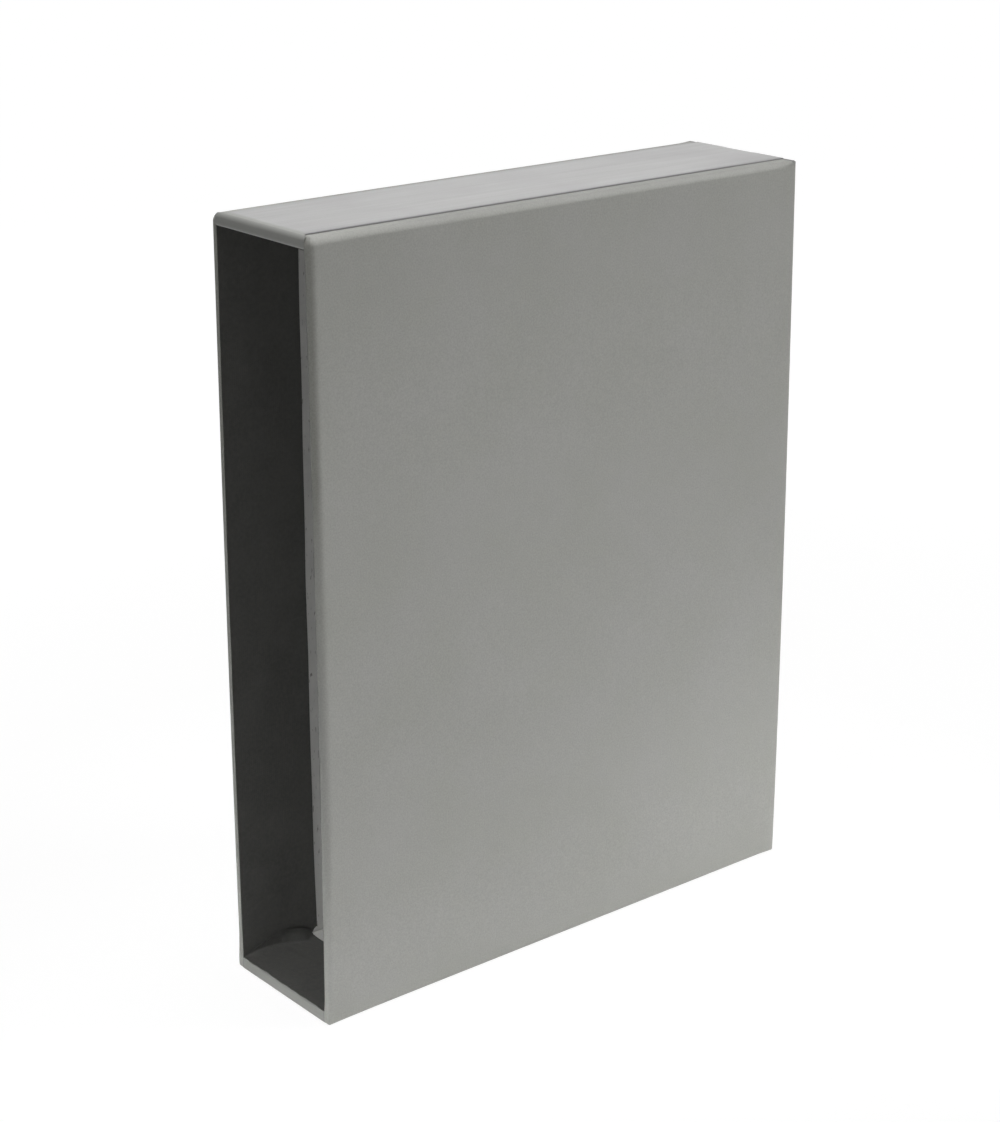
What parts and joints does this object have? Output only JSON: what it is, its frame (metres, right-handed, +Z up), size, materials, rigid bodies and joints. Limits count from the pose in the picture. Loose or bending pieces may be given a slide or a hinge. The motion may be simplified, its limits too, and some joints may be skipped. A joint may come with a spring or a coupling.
{
  "type": "slipcase",
  "caption": "Tall narrow slipcase for papers or a binder, open at one narrow side, with a grey cover and a dark lining band inside its mouth.",
  "frame": {"origin": "middle of the face that the case stands on", "axes": "+Z up along the height, -Y out of the open mouth, +X towards the side that faces the viewer in the picture"},
  "size_m": [0.065, 0.25, 0.32],
  "materials": {
    "greyboard": "bare, matt",
    "side_cover": "covering paper, matt",
    "strip_cover": "covering paper, matt",
    "dark_lining": "lining cloth, matt"
  },
  "bodies": {
    "root": {"near_side_board": "greyboard", "far_side_board": "greyboard", "back_board": "greyboard", "top_board": "greyboard", "base_board": "greyboard", "side_cover": "side_cover", "top_strip": "strip_cover", "base_strip": "strip_cover", "near_wall_lining": "dark_lining", "far_wall_lining": "dark_lining", "top_lining": "dark_lining", "floor_lining": "dark_lining"}
  },
  "joints": []
}
